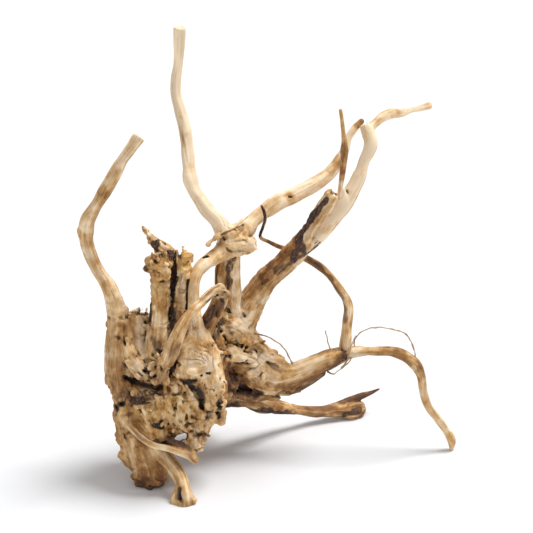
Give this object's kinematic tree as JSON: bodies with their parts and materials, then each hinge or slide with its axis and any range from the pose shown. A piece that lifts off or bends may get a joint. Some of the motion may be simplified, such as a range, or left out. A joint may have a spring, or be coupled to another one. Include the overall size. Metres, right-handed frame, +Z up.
{
  "type": "spider wood",
  "caption": "Debarked azalea root stump with a broken hollow top and long free roots that arch out and stand it on its feet.",
  "frame": {"origin": "on the rest plane, below the middle of the whole", "axes": "+Z up, +X towards the long root that reaches out to the side, +Y towards the side away from the picture"},
  "size_m": [0.3011, 0.1721, 0.3509],
  "materials": {
    "root_wood": "bare debarked root, pale tan ridges with dark brown remains of bark in the grooves, dull",
    "rootlet": "dry grey-tan rootlet, dull"
  },
  "bodies": {
    "root": {"rootstock": "root_wood", "broken_stump": "root_wood", "knuckle": "root_wood", "diagonal_trunk": "root_wood", "post": "root_wood", "riser": "root_wood", "strap_root": "root_wood", "left_branch": "root_wood", "tall_branch": "root_wood", "upper_arm": "root_wood", "smooth_arm": "root_wood", "finger": "root_wood", "upright_twig": "root_wood", "loop_branch": "root_wood", "right_root": "root_wood", "low_root": "root_wood", "front_foot": "root_wood", "front_whip": "root_wood", "rootlet_arch": "rootlet", "rootlet_front": "rootlet", "rootlet_hook": "rootlet", "rootlet_stray": "rootlet"}
  },
  "joints": []
}
